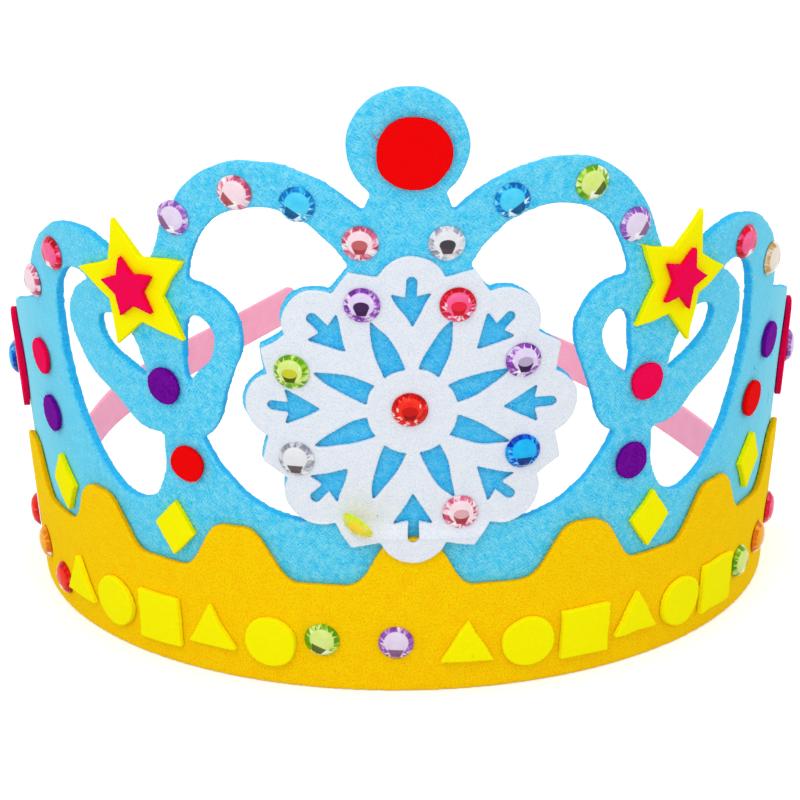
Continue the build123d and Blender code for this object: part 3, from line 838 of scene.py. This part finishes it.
def stone_foil_reflections_group():
    """Painted reflections of a foil-backed stone: facets, a window, a dark fan, a core and a glint."""
    if "stone_pattern" in bpy.data.node_groups:
        return bpy.data.node_groups["stone_pattern"]
    nodes, source, result = new_group(
        "stone_pattern",
        [
            ("Turned", "NodeSocketVector", None),
            ("Upright", "NodeSocketVector", None),
            ("Core size", "NodeSocketFloat", 1.0),
            ("Mark", "NodeSocketFloat", 0.0),
        ],
        [
            ("Facets", "NodeSocketFloat"),
            ("Window", "NodeSocketFloat"),
            ("Fan", "NodeSocketFloat"),
            ("Core", "NodeSocketFloat"),
            ("Glint", "NodeSocketFloat"),
        ],
    )
    turned, upright = source.outputs["Turned"], source.outputs["Upright"]
    core_size = source.outputs["Core size"]
    x, y = nodes.add("ShaderNodeSeparateXYZ", Vector=turned).outputs[:2]
    wide = nodes.math("ABSOLUTE", x)
    cored = nodes.math("GREATER_THAN", core_size, 0.5)
    coreless = nodes.math("LESS_THAN", core_size, 0.5)

    # Each facet round the rim is split into triangles that have their own chance shade of painted
    # reflection
    turn = nodes.math("MULTIPLY", nodes.math("ARCTAN2", y, x), FACETS_ROUND / math.tau)
    off_middle = nodes.math("ABSOLUTE", nodes.math("SUBTRACT", nodes.math("FRACT", turn), 0.5))
    outness = nodes.spread(nodes.vector("LENGTH", turned), FACET_START, 1.0)
    kind = nodes.math("GREATER_THAN", nodes.math("MULTIPLY", off_middle, 2), outness)
    cell = nodes.math("ADD", nodes.math("FLOOR", turn), nodes.math("MULTIPLY", kind, 0.5))
    cell = nodes.math("ADD", cell, nodes.math("MULTIPLY", source.outputs["Mark"], FACET_STEP))
    chance = nodes.add("ShaderNodeTexWhiteNoise", {"noise_dimensions": "1D"}, W=cell).outputs["Value"]
    facets = nodes.math("MULTIPLY", chance, FACET_CONTRAST)
    # Painted light: the facets turn darker towards the top and brighter towards the bottom
    facets = nodes.math("ADD", facets, nodes.spread(y, 0.9, -0.9, -0.12, 0.18))
    apart = nodes.vector("ADD", turned, nodes.math("MULTIPLY", source.outputs["Mark"], MOTTLE_STEP))
    mottle = nodes.noise(apart, MOTTLE_SCALE, 2)["Fac"]
    mottle = nodes.spread(mottle, 0.35, 0.65, -MOTTLE_REACH, MOTTLE_REACH)
    facets = nodes.math("ADD", facets, mottle)

    # The dark fan of painted reflection narrows downward, and lies lower where there is no core
    fan_y = nodes.math("ADD", y, nodes.spread(core_size, 0, 1, 0.3, 0))
    narrowing = nodes.math("MULTIPLY", nodes.math("MINIMUM", fan_y, 0), FAN_TAPER)
    half = nodes.math("ADD", FAN_HALF, narrowing)
    fan = nodes.product(
        nodes.spread(nodes.math("SUBTRACT", half, wide), 0, 0.05),
        nodes.spread(fan_y, FAN_TOP, FAN_TOP - 0.05),
        nodes.spread(fan_y, FAN_BOTTOM, FAN_BOTTOM + 0.05),
    )

    # Painted highlights: a stone without a core has one glint under its window, and the others have
    # two sparks
    across, up = nodes.add("ShaderNodeSeparateXYZ", Vector=upright).outputs[:2]
    glint = nodes.product(
        nodes.spread(nodes.math("ABSOLUTE", across), 0.3, 0.24),
        nodes.spread(up, -0.3, -0.36),
        nodes.spread(up, -0.84, -0.78),
        nodes.math("SUBTRACT", 1, fan),
        coreless,
    )
    sparks = nodes.math("MAXIMUM", *[nodes.oval(upright, *spark, 0.4) for spark in SPARKS])
    glint = nodes.math("MAXIMUM", glint, nodes.product(sparks, cored, 0.7))

    core = nodes.math("MULTIPLY", nodes.oval(turned, *CORE_OVAL, 0.06), cored)
    fan = nodes.math("MULTIPLY", fan, nodes.spread(core_size, 0, 0.5, 0.94, 1))

    nodes.feed(result, "Facets", facets)
    nodes.feed(result, "Window", nodes.oval(turned, *WINDOW_OVAL, 0.04))
    nodes.feed(result, "Fan", fan)
    nodes.feed(result, "Core", core)
    nodes.feed(result, "Glint", glint)
    return nodes.tree


# Colours of each stone's painted reflections: its window, fan and core. The stone that stands
# askew has its own.
STONE_LOOKS = {
    "askew": ((252, 218, 28), (250, 210, 20), (250, 210, 20)),
    "sky": ((62, 202, 245), (0, 84, 140), (60, 165, 212)),
    "pink": ((247, 216, 226), (178, 70, 78), (196, 98, 102)),
    "lilac": ((226, 210, 238), (136, 88, 134), (184, 152, 184)),
    "violet": ((224, 206, 242), (58, 24, 76), (66, 32, 84)),
    "lime": ((214, 234, 122), (84, 98, 6), (204, 206, 44)),
    "crimson": ((246, 84, 138), (204, 12, 40), (236, 32, 62)),
    "cream": ((240, 226, 212), (206, 160, 96), (224, 196, 150)),
    "clear": ((228, 228, 233), (92, 74, 78), (62, 62, 72)),
    "red": ((244, 36, 16), (162, 4, 2), (206, 12, 6)),
    "blue": ((10, 176, 246), (8, 50, 138), (16, 92, 196)),
    "amber": ((250, 164, 10), (214, 104, 6), (230, 130, 10)),
}

# Brightness of the darkest painted facet reflections, where it differs from the common one
SHADES = {"amber": 1.0, "cream": 0.9, "lime": 0.75, "lilac": 0.8, "askew": 1.0}
COMMON_SHADE = 0.62

# The stone that stands askew: its node, its dye, and the zoom and rise of its painted window
ASKEW_STONE = "stone_snowflake_6"
ASKEW_DYE = from_screen(226, 244, 90)
ASKEW_WINDOW = (1.5, -0.44)
COMMON_WINDOW = (1.0, 0.0)

# Cores of painted reflection in the front stones: 1 is dark, 0.6 pale, and 0 lost in a dark
# fan. The stones whose nodes hold one of these words face the front.
FRONT_STONES = ("snowflake", "neck", "hub")
CORES = {
    "stone_snowflake_1": 0.7,
    "stone_snowflake_5": 0.0,
    "stone_snowflake_6": 0.0,
    "stone_snowflake_7": 0.75,
    "stone_snowflake_8": 0.0,
}


def stone_material(name, colour, kind):
    """Foil-backed acrylic: painted reflections of its foil, light and dark parts, under a clear gloss."""
    window, fan, core = (from_screen(*tint) for tint in STONE_LOOKS[kind])
    shade = SHADES.get(kind, COMMON_SHADE)
    material, nodes, shader = new_material(name)
    core_size = nodes.add("ShaderNodeAttribute", {"attribute_name": CORE}).outputs["Fac"]
    foil_reflections = nodes.add(
        "ShaderNodeGroup",
        {"node_tree": stone_foil_reflections_group()},
        Turned=nodes.add("ShaderNodeUVMap", {"uv_map": TURNED_MAP}).outputs[0],
        Upright=nodes.add("ShaderNodeUVMap", {"uv_map": UPRIGHT_MAP}).outputs[0],
        Core_size=core_size,
        Mark=nodes.add("ShaderNodeAttribute", {"attribute_name": MARK}).outputs["Fac"],
    ).outputs
    # The facets' painted reflections run from a painted deep shade through the stone's colour to a
    # near-white painted highlight
    ramp = nodes.add("ShaderNodeValToRGB", Fac=foil_reflections["Facets"])
    steps = ramp.color_ramp.elements
    steps[0].color = (*[value * shade for value in deeper(colour, 1.6)], 1)
    steps[1].color = (*paler(window, 0.9), 1)
    steps.new(0.3).color = (*[value * 0.85 for value in deeper(colour, 1.3)], 1)
    steps.new(0.5).color = (*colour, 1)
    steps.new(0.75).color = (*window, 1)
    steps.new(0.9).color = (*paler(window, 0.2), 1)
    place = nodes.add("ShaderNodeTexCoord").outputs["Object"]
    cloud = nodes.spread(nodes.noise(place, 520, 2)["Fac"], 0.35, 0.65)
    cloudy_window = nodes.mix(cloud, window, deeper(window, 0.8))
    body = nodes.mix(foil_reflections["Window"], ramp.outputs["Color"], cloudy_window)
    # Painted highlights: the glint and the sparks
    body = nodes.mix(foil_reflections["Glint"], body, paler(window, 0.85))
    body = nodes.mix(foil_reflections["Fan"], body, nodes.mix(cloud, deeper(fan, 1.15), fan))
    pale_core = nodes.spread(core_size, 1, 0.6, 0, 0.8)
    body = nodes.mix(foil_reflections["Core"], body, nodes.mix(pale_core, core, window))
    nodes.feed(shader, "Base Color", body)
    shader.inputs["Roughness"].default_value = 0.08
    shader.inputs["IOR"].default_value = 1.45
    shader.inputs["Specular IOR Level"].default_value = 0.15
    return material


class CROWN_OT_stones(bpy.types.Operator):
    """Faceted flat-back stones on the felt"""

    bl_idname = "crown.stones"
    bl_label = "Stones"

    def execute(self, context):
        stones = context.scene.crown_stones
        finishes = {}
        askew_finish = stone_material("stone_lime_askew", ASKEW_DYE, "askew")
        for seed, (node, slot) in enumerate(SLOTS.items()):
            if not slot.startswith("stone_"):
                continue
            if slot not in finishes:
                dye = slot.removeprefix("stone_")
                finishes[slot] = stone_material(slot, tuple(getattr(stones, dye)), dye)
            name = f"gem_{node}"
            front = any(word in node for word in FRONT_STONES)
            core = CORES.get(node, 1.0 if front else 0.0)
            askew = node == ASKEW_STONE
            turns = askew or not front
            window = ASKEW_WINDOW if askew else COMMON_WINDOW
            mesh = faceted_stone(name, stone_seat(node), core, turns, window, stones, seed)
            show(name, mesh, askew_finish if askew else finishes[slot], node)
        return {"FINISHED"}


def strap_material(colour):
    """Smooth thin ribbon with a faint close rib, and a faint painted glow that stands for the
    light that comes through it.
    """
    material, nodes, shader = new_material("pink_strap")
    place = nodes.add("ShaderNodeTexCoord").outputs["Object"]
    cloud = nodes.spread(nodes.noise(place, 260, 3)["Fac"], 0.3, 0.7)
    rib = nodes.add(
        "ShaderNodeTexWave", {"bands_direction": "Z"}, Vector=place, Scale=700.0, Distortion=0.6
    )
    body = nodes.mix(cloud, deeper(colour, 1.08), paler(colour, 0.05))
    nodes.feed(shader, "Base Color", body)
    # Painted glow: the strap's colour glows faintly, standing for light that comes through it
    nodes.feed(shader, "Emission Color", body)
    shader.inputs["Emission Strength"].default_value = 0.1
    bump = nodes.add("ShaderNodeBump", Strength=0.25, Distance=0.0001, Height=rib.outputs["Fac"])
    nodes.feed(shader, "Normal", bump.outputs[0])
    shader.inputs["Roughness"].default_value = 0.6
    shader.inputs["Specular IOR Level"].default_value = 0.2
    return material


class CROWN_OT_straps(bpy.types.Operator):
    """Two loose halves of the pink strap behind the crown"""

    bl_idname = "crown.straps"
    bl_label = "Straps"

    def execute(self, context):
        straps = context.scene.crown_straps
        pink = strap_material(tuple(straps.pink))
        for node, (width, length) in STRAP_FLATS.items():
            mesh = softened(node, straps.grain, STRAP_ROUNDING, STRAP_KEPT)
            piece = show(f"ribbon_{node}", mesh, pink, node)
        return {"FINISHED"}


def floor_material():
    """Pale floor that glows to white before the camera and keeps the crown's soft shadow."""
    material, nodes, shader = new_material("pale_floor")
    shader.inputs["Base Color"].default_value = (FLOOR_GREY, FLOOR_GREY, FLOOR_GREY, 1)
    shader.inputs["Roughness"].default_value = 0.9
    shader.inputs["Specular IOR Level"].default_value = 0.0
    path = nodes.add("ShaderNodeLightPath").outputs
    seen = nodes.math("MAXIMUM", path["Is Camera Ray"], path["Is Glossy Ray"])
    glow = nodes.mix(seen, (0, 0, 0), (1, 1, 1))
    nodes.feed(shader, "Emission Color", glow)
    shader.inputs["Emission Strength"].default_value = FLOOR_GLOW
    return material


def pale_world(light):
    """World that is white to the camera and in reflections and gives an even light."""
    world = bpy.data.worlds.new("pale_room")
    world.use_nodes = True
    world.node_tree.nodes.clear()
    nodes = Nodes(world.node_tree)
    path = nodes.add("ShaderNodeLightPath").outputs
    seen = nodes.math("MAXIMUM", path["Is Camera Ray"], path["Is Glossy Ray"])
    seen = nodes.math("MAXIMUM", seen, path["Is Transmission Ray"])
    strength = nodes.spread(seen, 0, 1, light, 1.0)
    room = nodes.add("ShaderNodeBackground", Color=(1, 1, 1), Strength=strength)
    output = nodes.add("ShaderNodeOutputWorld")
    world.node_tree.links.new(room.outputs[0], output.inputs["Surface"])
    return world


def key_lamp(power):
    """Soft round lamp in front of the crown, above and to the left."""
    lamp = bpy.data.lights.new("key_light", "AREA")
    lamp.shape = "DISK"
    lamp.size = LAMP_SIZE
    lamp.energy = power
    holder = bpy.data.objects.new("key_light", lamp)
    holder.location = LAMP_PLACE
    reach = Vector(LAMP_AIM) - Vector(LAMP_PLACE)
    holder.rotation_euler = reach.to_track_quat("-Z", "Y").to_euler()
    return holder


def photo_camera():
    """Camera that sees the crown at the photo's angle."""
    stand = viewer_place()
    forward = (Vector(CAMERA_AIM) - stand).normalized()
    right = forward.cross(Vector((0, 0, 1))).normalized()
    up = right.cross(forward)
    across = right * math.cos(CAMERA_ROLL) + up * math.sin(CAMERA_ROLL)
    upward = up * math.cos(CAMERA_ROLL) - right * math.sin(CAMERA_ROLL)
    lens = bpy.data.cameras.new("camera")
    lens.sensor_fit = "HORIZONTAL"
    lens.sensor_width = SENSOR_WIDTH
    lens.lens = SENSOR_WIDTH * FOCAL_PIXELS / PICTURE_PIXELS
    lens.clip_end = 20
    camera = bpy.data.objects.new("camera", lens)
    turn = Matrix((across, upward, -forward)).transposed().to_4x4()
    camera.matrix_world = Matrix.Translation(stand) @ turn
    return camera


class CROWN_OT_stage(bpy.types.Operator):
    """Pale floor, soft light and the camera"""

    bl_idname = "crown.stage"
    bl_label = "Stage"

    def execute(self, context):
        scene = context.scene
        stage = scene.crown_stage
        plain = bmesh.new()
        bmesh.ops.create_grid(plain, x_segments=1, y_segments=1, size=stage.floor_size / 2)
        bmesh.ops.translate(plain, verts=plain.verts, vec=(0, 0, -FLOOR_DROP))
        mesh = bpy.data.meshes.new("floor")
        plain.to_mesh(mesh)
        plain.free()
        mesh.materials.append(floor_material())
        floor = bpy.data.objects.new("floor", mesh)
        scene.collection.objects.link(floor)

        scene.world = pale_world(stage.sky_light)
        scene.collection.objects.link(key_lamp(stage.key_light))
        camera = photo_camera()
        scene.collection.objects.link(camera)
        scene.camera = camera
        scene.view_settings.view_transform = "Standard"
        return {"FINISHED"}


class CROWN_PT_dress(bpy.types.Panel):
    """Lists the crown's pieces and their sizes and colours"""

    bl_idname = "CROWN_PT_dress"
    bl_label = "Felt Party Crown"
    bl_space_type = "VIEW_3D"
    bl_region_type = "UI"
    bl_category = "Crown"

    def draw(self, context):
        for operator in OPERATORS:
            self.layout.operator(operator.bl_idname)
        for group in SETTINGS:
            box = self.layout.box()
            settings = getattr(context.scene, group)
            for name in settings.bl_rna.properties.keys():
                if name not in ("rna_type", "name"):
                    box.prop(settings, name)


SETTINGS = {
    "crown_felt": CrownFelt,
    "crown_stones": CrownStones,
    "crown_straps": CrownStraps,
    "crown_stage": CrownStage,
}
OPERATORS = (
    CROWN_OT_crown_sheet,
    CROWN_OT_wave_band,
    CROWN_OT_snowflake,
    CROWN_OT_glued_shapes,
    CROWN_OT_stones,
    CROWN_OT_straps,
    CROWN_OT_stage,
)


def register():
    for group in (*SETTINGS.values(), *OPERATORS, CROWN_PT_dress):
        bpy.utils.register_class(group)
    for name, group in SETTINGS.items():
        setattr(bpy.types.Scene, name, PointerProperty(type=group))


def unregister():
    for name in SETTINGS:
        delattr(bpy.types.Scene, name)
    for group in (CROWN_PT_dress, *reversed(OPERATORS), *SETTINGS.values()):
        bpy.utils.unregister_class(group)


def main():
    register()
    bpy.ops.crown.crown_sheet()
    bpy.ops.crown.wave_band()
    bpy.ops.crown.snowflake()
    bpy.ops.crown.glued_shapes()
    bpy.ops.crown.stones()
    bpy.ops.crown.straps()
    bpy.ops.crown.stage()


if __name__ == "__main__":
    main()
